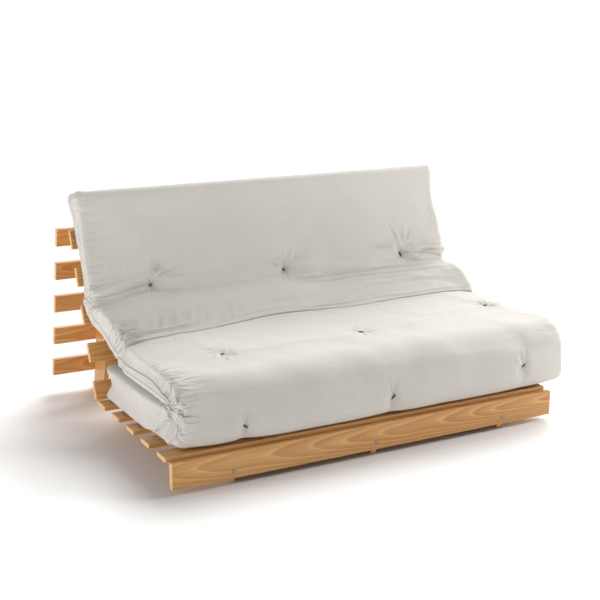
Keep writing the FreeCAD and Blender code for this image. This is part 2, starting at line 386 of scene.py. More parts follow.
def cotton():
    """Unbleached cotton drill: a fine weave with slubs, in a warm off-white, with painted shade in its crease and
    seam grooves.
    """
    material, tree, shader = new_material("cotton_drill")
    map_node = tree.nodes.new("ShaderNodeUVMap")
    map_node.uv_map = "cloth"
    flat = map_node.outputs["UV"]
    place = tree.nodes.new("ShaderNodeTexCoord").outputs["Object"]
    warp_slub = noise(tree, stretch(tree, flat, (380.0, 9.0, 1.0)), 1.0, 3.0, 0.6)
    weft_slub = noise(tree, stretch(tree, flat, (9.0, 380.0, 1.0)), 1.0, 3.0, 0.6)
    split = tree.nodes.new("ShaderNodeSeparateXYZ")
    tree.links.new(flat, split.inputs[0])
    threads = 2 * math.pi / THREAD_PITCH
    warp = maths(tree, "SINE", times(tree, split.outputs[0], threads))
    weft = maths(tree, "SINE", times(tree, split.outputs[1], threads))
    weave = times(tree, warp, weft)
    soft = noise(tree, place, 26.0, 3.0, 0.55)
    cloudy = noise(tree, place, 3.2, 2.0)

    base = mix(tree, spread(tree, cloudy, 0.3, 0.7, 0.0, 1.0),
               (0.725, 0.698, 0.656), (0.690, 0.660, 0.613))
    base = mix(tree, spread(tree, warp_slub, 0.40, 0.72, 0.0, 0.34), base, SLUB)
    base = mix(tree, spread(tree, weft_slub, 0.40, 0.72, 0.0, 0.34), base, SLUB)
    flecks = noise(tree, stretch(tree, flat, (420.0, 420.0, 1.0)), 1.0, 2.0, 0.7)
    base = mix(tree, spread(tree, flecks, 0.74, 0.82, 0.0, 0.35), base, (0.50, 0.40, 0.28))
    to_upper, to_lower = reading(tree, "creases")
    gathered, to_seam = reading(tree, "edges")
    grooves = [spread(tree, maths(tree, "ABSOLUTE", gap), 0.0005, wide, 1.0, 0.0)
               for gap, wide in ((to_upper, 0.0075), (to_lower, 0.007), (to_seam, 0.006))]
    # Between the outer tufts the upper crease is only a soft dip, without painted shade.
    outside = maths(tree, "MAXIMUM", spread(tree, split.outputs[0], -0.53, -0.45, 0.7, 0.0),
                    spread(tree, split.outputs[0], 0.51, 0.58, 0.0, 0.7))
    crossing = times(tree, grooves[0], outside)
    groove = maths(tree, "MAXIMUM", crossing, maths(tree, "MAXIMUM", grooves[1], grooves[2]))
    # The grooves of the creases and of the outer seam are painted darker: painted shade in the creases and along
    # the seam.
    base = mix(tree, times(tree, groove, 0.45), base, (0.36, 0.29, 0.215))
    tree.links.new(base, shader.inputs["Base Color"])
    tree.links.new(spread(tree, weave, -1.0, 1.0, 0.92, 0.80), shader.inputs["Roughness"])
    shader.inputs["Specular IOR Level"].default_value = 0.25
    shader.inputs["Sheen Weight"].default_value = 0.18
    shader.inputs["Sheen Roughness"].default_value = 0.5
    slubs = plus(tree, warp_slub, weft_slub)
    folds = noise(tree, stretch(tree, flat, (9.0, 58.0, 1.0)), 1.0, 2.0, 0.6)
    folds = times(tree, spread(tree, folds, 0.36, 0.64, 0.0, 1.0), gathered)
    normal = bump(tree, soft, 0.35, 0.004)
    normal = bump(tree, folds, 1.0, 0.007, normal)
    normal = bump(tree, groove, 1.0, -0.004, normal)
    normal = bump(tree, pinches(tree, flat), 1.0, 0.0024, normal)
    normal = bump(tree, slubs, 0.45, 0.0006, normal)
    normal = bump(tree, weave, 0.35, 0.0002, normal)
    tree.links.new(normal, shader.inputs["Normal"])
    return material


def reading(tree, name):
    """The two numbers kept in one of the pad's own UV maps."""
    node = tree.nodes.new("ShaderNodeUVMap")
    node.uv_map = name
    split = tree.nodes.new("ShaderNodeSeparateXYZ")
    tree.links.new(node.outputs["UV"], split.inputs[0])
    return split.outputs[0], split.outputs[1]


def pinches(tree, flat):
    """Fine creases that run out from each tuft like spokes."""
    total = 0.0
    for number, (x, t) in enumerate(TUFTS):
        away = tree.nodes.new("ShaderNodeVectorMath")
        away.operation = "SUBTRACT"
        feed(tree, away.inputs[0], flat)
        away.inputs[1].default_value = ((x - float(middle(t))) * MM, t * MM, 0.0)
        heading = tree.nodes.new("ShaderNodeVectorMath")
        heading.operation = "NORMALIZE"
        feed(tree, heading.inputs[0], away.outputs[0])
        length = tree.nodes.new("ShaderNodeVectorMath")
        length.operation = "LENGTH"
        feed(tree, length.inputs[0], away.outputs[0])
        turned = stretch(tree, heading.outputs[0], (2.3, 2.3, 1.0), (7.0 * number, 3.0, 0.0))
        spokes = spread(tree, noise(tree, turned, 1.0, 1.5, 0.5), 0.38, 0.62, 0.0, 1.0)
        reach = SPOKE_REACH[number // 3]
        near = spread(tree, length.outputs["Value"], 0.006, reach, 1.0, 0.0)
        total = plus(tree, total, times(tree, spokes, near))
    return total


def thread_material():
    """Dark waxed tufting twine, with its twist."""
    material, tree, shader = new_material("tuft_twine")
    local = tree.nodes.new("ShaderNodeTexCoord").outputs["Object"]
    strands = noise(tree, local, 900.0, 2.0)
    colour = mix(tree, strands, (0.012, 0.012, 0.014), (0.055, 0.052, 0.050))
    tree.links.new(colour, shader.inputs["Base Color"])
    shader.inputs["Roughness"].default_value = 0.65
    shader.inputs["Sheen Weight"].default_value = 0.3
    tree.links.new(bump(tree, strands, 0.5, 0.0004), shader.inputs["Normal"])
    return material


# ---------------------------------------------------------------- the futon's shape

# The mid-line runs from the top of the back, down into the seat, round the front fold and back
# under itself. The shape is worked out in millimetres, and MM turns it into metres.
MM = 0.001
BACK_MIDDLE = 0.0              # the futon lies askew: its seat part is further to the right
SEAT_MIDDLE = 48.0
HALF_WIDTH = 718.0
HALF_THICK = 60.0
BACK_LEAN = math.pi / 2 - BACK_TURN
BACK_MID = 126.5               # the back part's mid-plane, in front of the hinges
SEAT_MID = 296.5
LOWER_MID = 176.5
FOLD_Y = -227.5                # where the fold at the front starts
TOP_RUN = 733.0                # the back part's end, measured along the back from the hinges
LOWER_END = 290.0
SEAT_CORNER = (320.8, 405.6)   # where the mid-line bends from the back into the roll, as (y, z)
ROLL_CORNER = (185.4, SEAT_MID)
FOLD_RADIUS = (SEAT_MID - LOWER_MID) / 2
FOLD_MID = (SEAT_MID + LOWER_MID) / 2
SLAT_TOP = 116.7               # the pad stays above this height
BACK_CLEAR = 66.6              # and this far in front of the hinges, square to the back
OUTER_RADIUS, INNER_RADIUS = 35.0, 16.0
HOLE_Y, HOLE_Z = -219, 197     # the hole in the left end of the fold
SPOKE_REACH = (0.085, 0.055, 0.034)    # of the creases round the tufts of each row, in metres
CREASE_TUFTS = (-493, 12, 505)         # x
SEAT_TUFTS = ((-428, -108), (86, -94), (652, -20))    # x, y
FRONT_TUFTS = ((-455, 172), (59, 182), (580, 206))    # x, z


def back_point(run, out):
    return np.array([HINGE.y / MM + run * math.sin(BACK_LEAN) - out * math.cos(BACK_LEAN),
                     HINGE.z / MM + run * math.cos(BACK_LEAN) + out * math.sin(BACK_LEAN)])


def mid_line():
    """Fine samples of the mid-line: distance, place (y, z) and outward direction (y, z)."""
    corners = [back_point(TOP_RUN, BACK_MID), np.array(SEAT_CORNER), np.array(ROLL_CORNER),
               np.array([FOLD_Y, SEAT_MID])]
    radii = (0, 110.0, 120.0)
    places = [corners[0]]
    for i in (1, 2):
        before = corners[i] - corners[i - 1]
        after = corners[i + 1] - corners[i]
        before, after = before / np.linalg.norm(before), after / np.linalg.norm(after)
        turn = math.acos(np.clip(before @ after, -1, 1))
        reach = radii[i] * math.tan(turn / 2)
        for s in np.linspace(0, 1, 13):
            # a quadratic arc is near enough to round for bends this slack
            a = corners[i] - before * reach
            b = corners[i] + after * reach
            places.append((1 - s) ** 2 * a + 2 * s * (1 - s) * corners[i] + s ** 2 * b)
    for turn in np.linspace(0, math.pi, 25):
        places.append(np.array([FOLD_Y - FOLD_RADIUS * math.sin(turn),
                                LOWER_MID + FOLD_RADIUS + FOLD_RADIUS * math.cos(turn)]))
    places.append(np.array([LOWER_END, LOWER_MID]))
    places = np.array(places)
    run = np.r_[0, np.cumsum(np.linalg.norm(np.diff(places, axis=0), axis=1))]
    fine = np.arange(0, run[-1], 1.0)
    line = np.stack([np.interp(fine, run, places[:, k]) for k in (0, 1)], 1)
    heading = np.gradient(line, axis=0)
    kernel = np.hanning(25)
    kernel /= kernel.sum()
    padded = np.pad(heading, ((12, 12), (0, 0)), "edge")
    heading = np.stack([np.convolve(padded[:, k], kernel, "valid") for k in (0, 1)], 1)
    heading /= np.linalg.norm(heading, axis=1)[:, None]
    outward = np.stack([heading[:, 1], -heading[:, 0]], 1)
    return fine, line, outward


RUN, LINE, OUTWARD = mid_line()
LENGTH = RUN[-1]


def run_at(y, z):
    """The distance along the mid-line nearest to a place."""
    return RUN[np.argmin(((LINE - (y, z)) ** 2).sum(1))]


RUN_CREASE_1 = run_at(*SEAT_CORNER)
RUN_CREASE_2 = run_at(*ROLL_CORNER)
RUN_FOLD = run_at(FOLD_Y, SEAT_MID)
RUN_UNDER = run_at(FOLD_Y, LOWER_MID)


def middle(t):
    """The x of the pad's middle at a distance along the mid-line."""
    return BACK_MIDDLE + (SEAT_MIDDLE - BACK_MIDDLE) * step(t, RUN_CREASE_1 - 50, RUN_CREASE_2 - 5)


def gauss(v, width):
    return np.exp(-(v / width) ** 2)


def step(v, low, high):
    s = np.clip((v - low) / (high - low), 0, 1)
    return s * s * (3 - 2 * s)


def upper_crease(x):
    """Where the crease under the back lies: it rides up at the tufts and sags between them."""
    sag = 30 * (1 - gauss(x + 495, 120) - gauss(x - 10, 130) - gauss(x - 505, 150))
    return RUN_CREASE_1 - 60 + np.clip(sag, 0, 40) - 8 * step(x, 0, 500)


def lower_crease(x):
    """Where the crease behind the seat lies: it wanders forwards towards the left."""
    wave = 34 - 60 * step(x, -420, -60) + 26 * step(x, -60, 180) - 18 * step(x, 250, 480)
    return RUN_CREASE_2 + 4 + wave


def tuft_places():
    """The tufts on the outer face, as (x, distance along the mid-line)."""
    places = [(x, float(upper_crease(np.array(x)))) for x in CREASE_TUFTS]
    places += [(x, run_at(y, SEAT_MID)) for x, y in SEAT_TUFTS]
    for x, z in FRONT_TUFTS:
        turn = math.acos(np.clip((z - FOLD_MID) / (FOLD_RADIUS + HALF_THICK), -1, 1))
        places.append((x, RUN_FOLD + (RUN_UNDER - RUN_FOLD) * turn / math.pi))
    return places


TUFTS = tuft_places()


def graded(low, high, spacing, *fine):
    """Positions from low to high, closer together near each fine spot (place, spacing there, reach)."""
    samples = np.linspace(low, high, 4000)
    density = np.full_like(samples, 1 / spacing)
    for spot, close, reach in fine:
        denser = gauss(samples - spot, reach) * (1 / close - 1 / spacing)
        density = np.maximum(density, 1 / spacing + denser)
    total = np.r_[0, np.cumsum((density[1:] + density[:-1]) / 2 * np.diff(samples))]
    count = int(round(total[-1]))
    return np.interp(np.linspace(0, total[-1], count + 1), total, samples)


def lattice():
    """A closed box surface of quads, in the pad's own coordinates.

    u runs across the pad, v from its inner face to its outer one, and t along the mid-line.
    """
    us = graded(-HALF_WIDTH, HALF_WIDTH, 23.0, (-HALF_WIDTH, 9.5, 80), (HALF_WIDTH, 9.5, 80),
                *((x - 10, 13.0, 60) for x in (-470, 30, 540)))
    vs = np.linspace(-HALF_THICK, HALF_THICK, 8)
    ts = graded(0, LENGTH, 18.0, (0, 10.0, 40), (RUN_CREASE_1 - 30, 9.0, 60),
                (RUN_CREASE_2, 9.0, 55), (RUN_FOLD + 60, 11.0, 140), (LENGTH, 11.0, 40))
    nu, nv, nt = len(us) - 1, len(vs) - 1, len(ts) - 1
    index = {}
    points = []

    def vertex(i, j, k):
        key = (i, j, k)
        if key not in index:
            index[key] = len(points)
            points.append((us[i], vs[j], ts[k]))
        return index[key]

    faces, sides = [], []

    def wall(spots, number, flip):
        """One quad of the box surface. Number 0 is a wide face, 1 a side and 2 an end."""
        quad = [vertex(*spot) for spot in spots]
        faces.append(quad[::-1] if flip else quad)
        sides.append(number)

    for j, flip in ((nv, False), (0, True)):
        for i in range(nu):
            for k in range(nt):
                wall(((i, j, k), (i + 1, j, k), (i + 1, j, k + 1), (i, j, k + 1)), 0, flip)
    for i, flip in ((0, False), (nu, True)):
        for j in range(nv):
            for k in range(nt):
                wall(((i, j, k), (i, j + 1, k), (i, j + 1, k + 1), (i, j, k + 1)), 1, flip)
    for k, flip in ((0, False), (nt, True)):
        for i in range(nu):
            for j in range(nv):
                wall(((i, j, k), (i + 1, j, k), (i + 1, j + 1, k), (i, j + 1, k)), 2, flip)
    return np.array(points), faces, sides, index, (nu, nv, nt), (us, vs, ts)


def rounded(points, radius):
    """Maps the cube's surface to a box with rounded edges."""
    half = np.array([HALF_WIDTH, HALF_THICK, LENGTH / 2])
    p = points.copy()
    p[:, 2] -= LENGTH / 2
    core = np.clip(p, -(half - radius), half - radius)
    rest = p - core
    size = np.linalg.norm(rest, axis=1)[:, None]
    out = core + rest / np.maximum(size, 1e-9) * radius
    out[:, 2] += LENGTH / 2
    return out


def shape(cube):
    """Bends and dents the flat rounded slab into the folded futon.

    Takes the pad's own coordinates in millimetres, and gives places in metres.
    """
    slab = np.where(cube[:, 1:2] > 0, rounded(cube, OUTER_RADIUS), rounded(cube, INNER_RADIUS))
    u, v, t = slab.T
    x = u + middle(t)
    outer = step(v, 5, 50)
    inner = step(-v, 5, 50)

    # The pad is thinner near its border, so that the panels are crowned.
    to_side = HALF_WIDTH - np.abs(u)
    to_end = np.minimum(t, LENGTH - t)
    crown = 1 - 0.17 * gauss(to_side, 95) - 0.12 * gauss(to_end, 80)
    lying = step(t, RUN_UNDER - 70, RUN_UNDER)
    v = np.where(v > 0, v * (crown * (1 - lying) + lying), v)
    # Its weight presses the lower layer's edge out towards the slats.
    v = np.where(v > 0, v + lying * (HALF_THICK - v) * 0.45 * step(v, 0, 30), v)

    v = v - outer * 22 * gauss(t - upper_crease(x), 15)
    v = v - outer * 17 * gauss(t - lower_crease(x), 13)
    between = (RUN_CREASE_1 + RUN_CREASE_2) / 2 - 30
    v = v + outer * 18 * gauss(t - between, 52)
    for number, (tuft_x, tuft_t) in enumerate(TUFTS):
        away = np.hypot(x - tuft_x, t - tuft_t)
        wide = 10 if number < 6 else 3
        v = v - outer * (14 * gauss(away, 18) + wide * gauss(away, 62))
        v = v + inner * (12 * gauss(away, 20) + 6 * gauss(away, 55)) * (t < RUN_CREASE_2)

    # The sides pull in at the creases and at the fold.
    side = np.sign(u) * step(np.abs(u), HALF_WIDTH - 130, HALF_WIDTH)
    draw_in = 9 * gauss(t, 80) * (u < 0) + 10 * gauss(t - RUN_CREASE_1 + 25, 30) * outer
    draw_in = draw_in + 12 * gauss(t - RUN_CREASE_2, 40)
    draw_in = draw_in - 14 * gauss(t - (RUN_FOLD + RUN_UNDER) / 2, 170) * (u > 0)
    draw_in = draw_in - 10 * step(t, RUN_UNDER, RUN_UNDER + 200)
    x = x - side * draw_in

    place = np.stack([np.interp(t, RUN, LINE[:, k]) for k in (0, 1)], 1)
    normal = np.stack([np.interp(t, RUN, OUTWARD[:, k]) for k in (0, 1)], 1)
    normal /= np.linalg.norm(normal, axis=1)[:, None]

    # Under its own weight the fold is squarer below than above.
    angle = np.arctan2(-normal[:, 0], normal[:, 1])
    in_fold = (t > RUN_FOLD) & (t < RUN_UNDER) & (angle > 0)
    below = np.where(in_fold, np.clip(angle - math.pi / 2, 0, math.pi / 2), 0)
    power = 7.0
    square = (np.abs(np.cos(below)) ** power + np.abs(np.sin(below)) ** power) ** (-1 / power)
    scale = np.where(in_fold, square, 1.0)
    place_fold = np.array([FOLD_Y, FOLD_MID])
    where = place + normal * v[:, None]
    where = np.where(in_fold[:, None], place_fold + (where - place_fold) * scale[:, None], where)

    # The fold stands back a little towards its ends.
    ends = (np.abs(u) / HALF_WIDTH) ** 4
    front = step(-where[:, 0], 180, 330)
    where[:, 0] += front * ends * np.where(u < 0, 20, 8) * outer
    # The corners of the top stand up in points.
    ear = gauss(t, 24) * step(v, -20, 40)
    where[:, 1] += ear * (15 * gauss(u + HALF_WIDTH, 26) + 7 * gauss(HALF_WIDTH - u, 26))
    # The upper layer is fuller to the right.
    upper = step(t, RUN_CREASE_2 - 20, RUN_CREASE_2 + 60) * step(RUN_FOLD + 90 - t, 0, 120)
    where[:, 1] += outer * upper * (u / HALF_WIDTH) * 5
    return np.stack([x, where[:, 0], where[:, 1]], 1) * MM


def rest_clear(co):
    """Keeps the pad on the seat slats and off the back slats."""
    y, z = co[:, 1] / MM, co[:, 2] / MM
    out = -(y - HINGE.y / MM) * math.cos(BACK_LEAN) + (z - HINGE.z / MM) * math.sin(BACK_LEAN)
    lift = np.clip(BACK_CLEAR - out, 0, None)
    co[:, 1] -= lift * math.cos(BACK_LEAN) * MM
    co[:, 2] += lift * math.sin(BACK_LEAN) * MM
    co[:, 2] = np.maximum(co[:, 2], SLAT_TOP * MM)
    return co


def smoothed(values, edges, rounds):
    """The values averaged over the mesh's neighbours, so that only the broad change is left."""
    a, b = edges.T
    count = len(values)
    degree = np.bincount(a, minlength=count) + np.bincount(b, minlength=count)
    out = values.copy()
    for _ in range(rounds):
        near = np.stack([np.bincount(a, out[b, k], count) + np.bincount(b, out[a, k], count)
                         for k in range(3)], 1)
        out = 0.5 * out + 0.5 * near / degree[:, None]
    return out


SIM_FRAMES = 20
BROAD_ROUNDS = 70              # of smoothing, to find the broad part of the change
FINE_KEPT, SWELL_KEPT = 0.35, 0.4


def settle(mesh, start, allowed, growth, pins):
    """Cloth under pressure fills the cover out and puckers it.

    Each point may move as far as allowed, in millimetres. Only the fine part of the change and
    some of the broad swelling are kept.
    """
    soft = add_object("settling", mesh.copy())
    for name, weights in (("pins", pins), ("growth", growth)):
        group = soft.vertex_groups.new(name=name)
        for i, w in enumerate(weights):
            if w > 0.001:
                group.add([i], float(w), "REPLACE")
    cloth = soft.modifiers.new("cloth", "CLOTH").settings
    cloth.quality = 5
    cloth.mass = 0.25
    cloth.tension_stiffness = 22
    cloth.compression_stiffness = 22
    cloth.shear_stiffness = 8
    cloth.bending_stiffness = 0.35
    cloth.air_damping = 2.0
    cloth.use_pressure = True
    cloth.uniform_pressure_force = 4.0
    cloth.effector_weights.gravity = 0.0
    cloth.vertex_group_mass = "pins"
    cloth.pin_stiffness = 1.0
    cloth.vertex_group_shrink = "growth"
    cloth.shrink_min = 0.0
    cloth.shrink_max = -0.16
    scene = bpy.context.scene
    for number in range(1, SIM_FRAMES + 1):
        scene.frame_set(number)
    graph = bpy.context.evaluated_depsgraph_get()
    result = soft.evaluated_get(graph).to_mesh()
    moved = np.empty(len(result.vertices) * 3)
    result.vertices.foreach_get("co", moved)
    scene.frame_set(1)
    bpy.data.objects.remove(soft)
    change = moved.reshape(-1, 3) - start
    edges = np.empty(len(mesh.edges) * 2, int)
    mesh.edges.foreach_get("vertices", edges)
    broad = smoothed(change, edges.reshape(-1, 2), BROAD_ROUNDS)
    facing = np.empty(len(start) * 3)
    mesh.vertices.foreach_get("normal", facing)
    facing = facing.reshape(-1, 3)
    swell = np.maximum((broad * facing).sum(1), 0)[:, None] * facing
    change = (change - broad) * FINE_KEPT + SWELL_KEPT * swell
    size = np.linalg.norm(change, axis=1)
    limit = allowed * MM
    kept = limit * np.tanh(size / limit) / np.maximum(size, 1e-9)
    return start + change * kept[:, None]


def outer_seam(t):
    """How far round the side the outer seam lies, from -60 at the inner face to 60 at the outer one."""
    runs = (0, 260, RUN_CREASE_2, RUN_FOLD - 130, RUN_FOLD - 40, RUN_UNDER - 25, RUN_UNDER + 5,
            RUN_UNDER + 80, RUN_UNDER + 160, LENGTH)
    heights = (-16, -14, -30, -18, -34, -46, -19, 33, 44, 44)
    return np.interp(t, runs, heights)


def inner_seam(t):
    """How far round the side the inner seam lies: just inside the inner face's edge."""
    return np.full_like(t, -50.0)


def ray_lines(draw, x, t, fan, reach, depth):
    """Creases that run out from a tuft. An angle of 0 points right, and 90 points up the back."""
    for angle in fan:
        turn = math.radians(angle + draw.uniform(-6, 6))
        bend = draw.uniform(-0.35, 0.35)
        length = reach * draw.uniform(0.75, 1.25)
        points = []
        for part in (0.10, 0.4, 0.7, 1.0):
            a = turn + bend * part
            points.append((x + length * part * math.cos(a), t - length * part * math.sin(a)))
        yield points, draw.uniform(4.0, 5.5), depth * draw.uniform(0.8, 1.3)


def crease_lines():
    """Every pucker in the outer face, as (points (x, run), width, depth)."""
    draw = np.random.default_rng(41)
    fans = ((40, 24, 60, 168, 186, -6, 8), (22, 8, 44, 172, 188, -8, 150),
            (40, 26, 58, 80, 150, 176, 12, -10))
    for (x, t), fan in zip(TUFTS[:3], fans):
        yield from ray_lines(draw, x, t, fan, 125, 5.2)
    for x, t in TUFTS[3:6]:
        yield from ray_lines(draw, x, t, (20, 62, 100, 160, 205, 270, 330), 58, 4.4)
    for x, t in TUFTS[6:]:
        yield from ray_lines(draw, x, t, (12, 48, 100, 140, 172), 40, 2.4)
    top, low = RUN_CREASE_1 - 60, RUN_CREASE_2
    # Long pulls from the right tuft to the side, and short ones all the way up that side.
    yield [(520, top - 4), (600, top - 14), (712, top - 10)], 7, 14
    yield [(530, top + 2), (620, top + 10), (716, top + 22)], 7, 12
    yield [(560, top - 26), (640, top - 36), (714, top - 34)], 6, 7
    for number in range(11):
        t = top - 56 - 24 * number + draw.uniform(-5, 5)
        length = draw.uniform(40, 80) * (1 - 0.04 * number)
        slant = draw.uniform(8, 20)
        path = [(716 - length, t - slant), (716 - length / 2, t - slant * 0.7), (718, t)]
        yield path, 5, 3.6 - 0.22 * number
    # Slack in the roll: long soft diagonals to the right, gathers to the left.
    yield [(60, top + 34), (240, top + 22), (470, top + 26), (640, top + 44)], 9, 6
    yield [(40, top + 78), (260, top + 62), (500, top + 70), (710, top + 92)], 10, 7
    yield [(120, top + 112), (380, top + 96), (700, top + 128)], 9, 5
    yield [(300, top + 132), (520, top + 128), (715, top + 150)], 8, 5
    for number in range(9):
        x = -650 + 52 * number + draw.uniform(-12, 12)
        t = low - 78 + draw.uniform(-12, 12)
        yield [(x + 10, t), (x, t + 24), (x - 6, t + 52)], 8, draw.uniform(3.2, 5.6)
    # The flap of slack cloth behind the seat.
    yield [(-640, low + 6), (-520, low + 2), (-400, low - 8), (-300, low - 26)], 6, 4
    yield [(-600, low - 16), (-470, low - 22), (-330, low - 44)], 6, 3
    yield [(-330, low + 4), (-230, low - 34), (-120, low - 50), (40, low - 52)], 6, 3.5
    yield [(60, low - 30), (180, low - 22), (330, low - 34), (520, low - 32)], 6, 4
    # The left side is crumpled at both creases.
    for number in range(6):
        t = top - 70 + 13 * number
        yield [(-655 + 3 * number, t - 14), (-690, t + 4), (-716, t + 30)], 5, 3.6
    for number in range(12):
        t = low - 76 + 12.5 * number + draw.uniform(-4, 4)
        length = draw.uniform(45, 100)
        lean = draw.uniform(-26, 14)
        path = [(-668 + length, t + lean), (-668 + length / 2, t + lean * 0.4), (-670, t)]
        yield path, 5, draw.uniform(2.5, 4.5)
    # Gathers that run from the inside of the front fold over the left edge.
    fold = RUN_FOLD
    rises = ((-150, -34), (-118, -30), (-88, -22), (-60, -16), (-34, -6), (-8, 4), (22, 14))
    for run, rise in rises:
        t = fold + run
        length = draw.uniform(50, 90)
        path = [(-670, t), (-670 + length / 2, t + rise * 0.6), (-670 + length, t + rise)]
        yield path, 6, draw.uniform(2.5, 4.5)
    for number in range(7):
        t = fold - 120 + 34 * number + draw.uniform(-8, 8)
        length = draw.uniform(40, 80)
        yield [(766 - length, t - 8), (766, t)], 7, draw.uniform(1.2, 2.4)


def smooth_path(points, spacing=6.0):
    """A polyline drawn out into a smooth one through the same points."""
    points = np.array(points, float)
    knots = np.r_[0, np.cumsum(np.linalg.norm(np.diff(points, axis=0), axis=1))]
    count = max(3, int(knots[-1] / spacing))
    s = np.linspace(0, knots[-1], count)
    path = np.stack([np.interp(s, knots, points[:, k]) for k in (0, 1)], 1)
    for _ in range(4):
        path[1:-1] = (path[:-2] + 2 * path[1:-1] + path[2:]) / 4
    return path


def pucker(x, t, points, width, depth):
    """A crease along a line: a groove with a soft roll of cloth on each side.

    It fades towards its far end.
    """
    path = smooth_path(points)
    reach = 3.6 * width
    near = ((x > path[:, 0].min() - reach) & (x < path[:, 0].max() + reach)
            & (t > path[:, 1].min() - reach) & (t < path[:, 1].max() + reach))
    out = np.zeros_like(x)
    spots = np.stack([x[near], t[near]], 1)
    if not len(spots):
        return out
    best = np.full(len(spots), 1e9)
    part = np.zeros(len(spots))
    for i in range(len(path) - 1):
        along = path[i + 1] - path[i]
        s = np.clip(((spots - path[i]) @ along) / (along @ along), 0, 1)
        away = np.linalg.norm(spots - path[i] - s[:, None] * along, axis=1)
        closer = away < best
        best = np.where(closer, away, best)
        part = np.where(closer, (i + s) / (len(path) - 1), part)
    fade = step(part, -0.05, 0.12) * step(1.02 - part, 0, 0.45)
    strength = depth * (fade * 0.9 + 0.1 * gauss(part - 0.3, 0.5))
    profile = -gauss(best, width) + 0.55 * gauss(best - 1.9 * width, 1.1 * width)
    out[near] = strength * profile
    return out


COORDINATES = ("pu", "pv", "pt")


def hollow(co, u):
    """The small hole left in the middle of the fold at the left end."""
    return gauss(co[:, 1] - HOLE_Y, 12) * gauss(co[:, 2] - HOLE_Z, 14) * (u < -HALF_WIDTH + 0.5)


def waves(along, periods, draw):
    """An uneven ripple between -1 and 1."""
    total = sum(np.sin(2 * math.pi * along / p + draw.uniform(0, 6.28)) for p in periods)
    return total / len(periods)


def folded_runs(t, fold_reach, creases):
    """1 where the pad's sides are shortened, at the fold and the creases, and 0 away from them."""
    amount = gauss(t - (RUN_FOLD + RUN_UNDER) / 2, fold_reach)
    for factor, run, reach in creases:
        amount = amount + factor * gauss(t - run, reach)
    return amount


def crumple(mesh):
    """Adds the puckers to the finished pad, along its normals."""
    count = len(mesh.vertices)
    co, facing = np.empty(count * 3), np.empty(count * 3)
    mesh.vertices.foreach_get("co", co)
    mesh.vertices.foreach_get("normal", facing)
    co, facing = co.reshape(-1, 3), facing.reshape(-1, 3)
    u, v, t = (np.empty(count) for _ in range(3))
    for name, values in zip(COORDINATES, (u, v, t)):
        mesh.attributes[name].data.foreach_get("value", values)
    x = u + middle(t)
    draw = np.random.default_rng(7)
    outer = step(v, 20, 50)
    height = np.zeros(count)
    for points, width, depth in crease_lines():
        height += pucker(x, t, points, width, depth) * outer

    # Ripples beside the seams, and gathers on the sides where the fold shortens them.
    to_side = HALF_WIDTH - np.abs(u)
    side = step(-to_side, -55, -5)
    ripple = waves(t, (23, 31, 47), draw) * (0.6 + 0.4 * waves(t, (190, 330), draw))
    height += 1.8 * side * ripple
    seam = np.abs(v - outer_seam(t))
    height -= 3.0 * gauss(seam, 9) * (to_side < 2)
    folded = folded_runs(t, 150, ((0.8, RUN_CREASE_2, 60), (0.7, RUN_CREASE_1 - 25, 40)))
    gathers = waves(t + 0.25 * v, (27, 36, 52), draw)
    height += np.where(u < 0, 7.5, 1.5) * folded * gathers * gauss(to_side, 30)
    grooves = 9 * gauss(t - upper_crease(x), 7) + 7 * gauss(t - lower_crease(x), 7)
    height -= grooves * outer * step(to_side, -5, 60)
    height += 0.5 * waves(u, (41, 57, 83), draw) * gauss(t, 40)
    # The filling is never quite even.
    lumps = waves(x + 40 * waves(t, (310,), draw), (233, 371), draw)
    lumps = lumps * waves(t + 30 * waves(x, (290,), draw), (197, 283), draw)
    seen = step(t, 0, 60) * (1 - step(t, RUN_UNDER - 80, RUN_UNDER)) * outer
    height += 4.0 * lumps * seen
    co = co + facing * (height * MM)[:, None]
    co[:, 0] += 24 * MM * hollow(co / MM, u)
    mesh.vertices.foreach_set("co", rest_clear(co).ravel())
    mesh.update()


